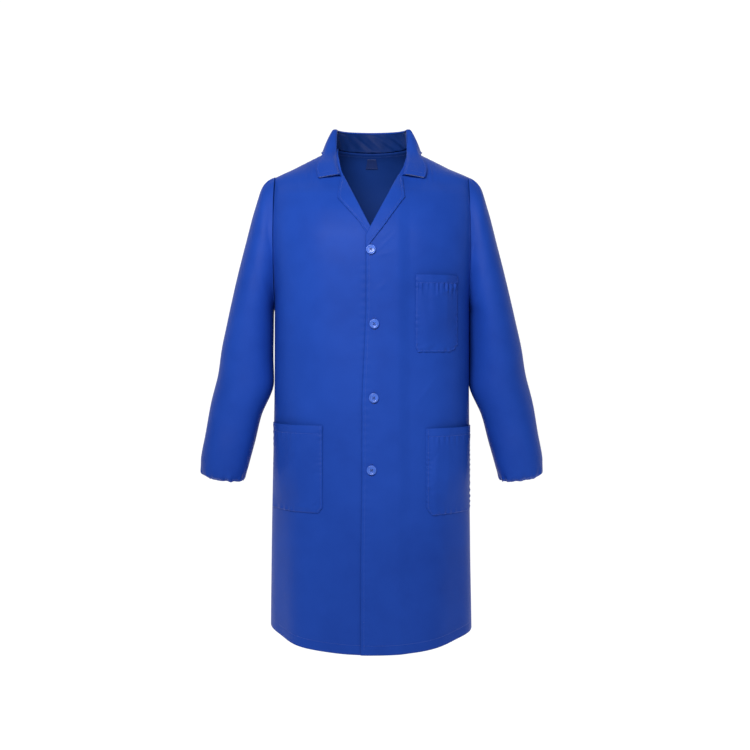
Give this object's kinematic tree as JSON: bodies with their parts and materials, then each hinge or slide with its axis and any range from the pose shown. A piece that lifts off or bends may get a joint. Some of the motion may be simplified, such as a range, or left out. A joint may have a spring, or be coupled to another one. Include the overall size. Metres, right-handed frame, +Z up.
{
  "type": "lab coat",
  "caption": "Long-sleeved, knee-length cloth work coat with a notched collar, buttoned overlapping front, breast pocket, side patch pockets and gathered cuffs.",
  "frame": {"origin": "middle of the back neck seam, inside the collar, where the coat hangs", "axes": "+Z up along the coat, the buttoned front faces -Y, the wearer's left is +X"},
  "size_m": [0.708, 0.3409, 1.0589],
  "materials": {
    "coat_cloth": "plain-weave poly-cotton, smooth with a soft sheen",
    "inside_cloth": "wrong side of the same poly-cotton, matt",
    "interfacing": "non-woven fusible interfacing",
    "elastic": "knitted elastic tape",
    "button_plastic": "moulded polyester, polished rim",
    "thread": "twisted polyester sewing thread",
    "label": "woven tape, blank"
  },
  "bodies": {
    "coat_body": {"back_panel": "coat_cloth", "left_front": "coat_cloth", "right_front": "coat_cloth", "collar_stand": "inside_cloth", "under_collar": "inside_cloth", "collar_interlining": "interfacing", "upper_collar": "coat_cloth", "chest_pocket": "coat_cloth", "right_pocket": "coat_cloth", "left_pocket": "coat_cloth", "neck_label": "label", "left_sleeve_head": "coat_cloth", "right_sleeve_head": "coat_cloth"},
    "left_front_flap": {"left_front_edge": "coat_cloth", "left_facing": "inside_cloth", "left_interfacing": "interfacing"},
    "right_front_flap": {"right_front_edge": "coat_cloth", "right_facing": "inside_cloth", "right_interfacing": "interfacing"},
    "left_lapel_flap": {"left_lapel": "coat_cloth"},
    "right_lapel_flap": {"right_lapel": "coat_cloth"},
    "left_arm": {"left_sleeve": "coat_cloth", "left_cuff_elastic": "elastic", "left_cuff_casing": "inside_cloth"},
    "right_arm": {"right_sleeve": "coat_cloth", "right_cuff_elastic": "elastic", "right_cuff_casing": "inside_cloth"},
    "button_1_sewn": {"button_1": "button_plastic", "button_thread_1": "thread"},
    "button_2_sewn": {"button_2": "button_plastic", "button_thread_2": "thread"},
    "button_3_sewn": {"button_3": "button_plastic", "button_thread_3": "thread"},
    "button_4_sewn": {"button_4": "button_plastic", "button_thread_4": "thread"}
  },
  "joints": [
    {"name": "left_front_open", "type": "hinge", "parent": "coat_body", "child": "left_front_flap", "pos_m": [-0.011, -0.2345, -0.24], "axis": [-0.2168, 0.0051, 0.9762], "range_deg": [0, 110]},
    {"name": "right_front_open", "type": "hinge", "parent": "coat_body", "child": "right_front_flap", "pos_m": [0.02, -0.244, -0.56], "axis": [-0.3219, -0.0063, -0.9468], "range_deg": [0, 77]},
    {"name": "left_lapel_lift", "type": "hinge", "parent": "coat_body", "child": "left_lapel_flap", "pos_m": [-0.011, -0.237, -0.199], "axis": [-0.4058, -0.4592, -0.7902], "range_deg": [0, 75]},
    {"name": "right_lapel_lift", "type": "hinge", "parent": "coat_body", "child": "right_lapel_flap", "pos_m": [-0.002, -0.23, -0.182], "axis": [-0.3804, 0.5071, 0.7734], "range_deg": [0, 75]},
    {"name": "left_sleeve_raise", "type": "hinge", "parent": "coat_body", "child": "left_arm", "pos_m": [0.203, -0.085, -0.341], "axis": [0, -1, 0], "range_deg": [0, 50], "deforming": ["left_sleeve_head"]},
    {"name": "right_sleeve_raise", "type": "hinge", "parent": "coat_body", "child": "right_arm", "pos_m": [-0.203, -0.085, -0.341], "axis": [0, 1, 0], "range_deg": [0, 50], "deforming": ["right_sleeve_head"]},
    {"name": "button_1_turn", "type": "hinge", "parent": "coat_body", "child": "button_1_sewn", "pos_m": [-0.0008, -0.22481, -0.2277], "axis": [-0.0002, -0.9978, 0.0668], "range_deg": [-20, 20]},
    {"name": "button_2_turn", "type": "hinge", "parent": "coat_body", "child": "button_2_sewn", "pos_m": [0.0055, -0.22629, -0.3725], "axis": [0.0032, -0.9999, 0.015], "range_deg": [-20, 20]},
    {"name": "button_3_turn", "type": "hinge", "parent": "coat_body", "child": "button_3_sewn", "pos_m": [0.0047, -0.23026, -0.5174], "axis": [0.0026, -0.9992, 0.0388], "range_deg": [-20, 20]},
    {"name": "button_4_turn", "type": "hinge", "parent": "right_front_flap", "child": "button_4_sewn", "pos_m": [0.0004, -0.23701, -0.6573], "axis": [0.0001, -0.9984, 0.0563], "range_deg": [-20, 20]}
  ],
  "couplings": [
    {"joint": "right_front_open", "follows": "left_front_open", "ratio": 0.7}
  ]
}
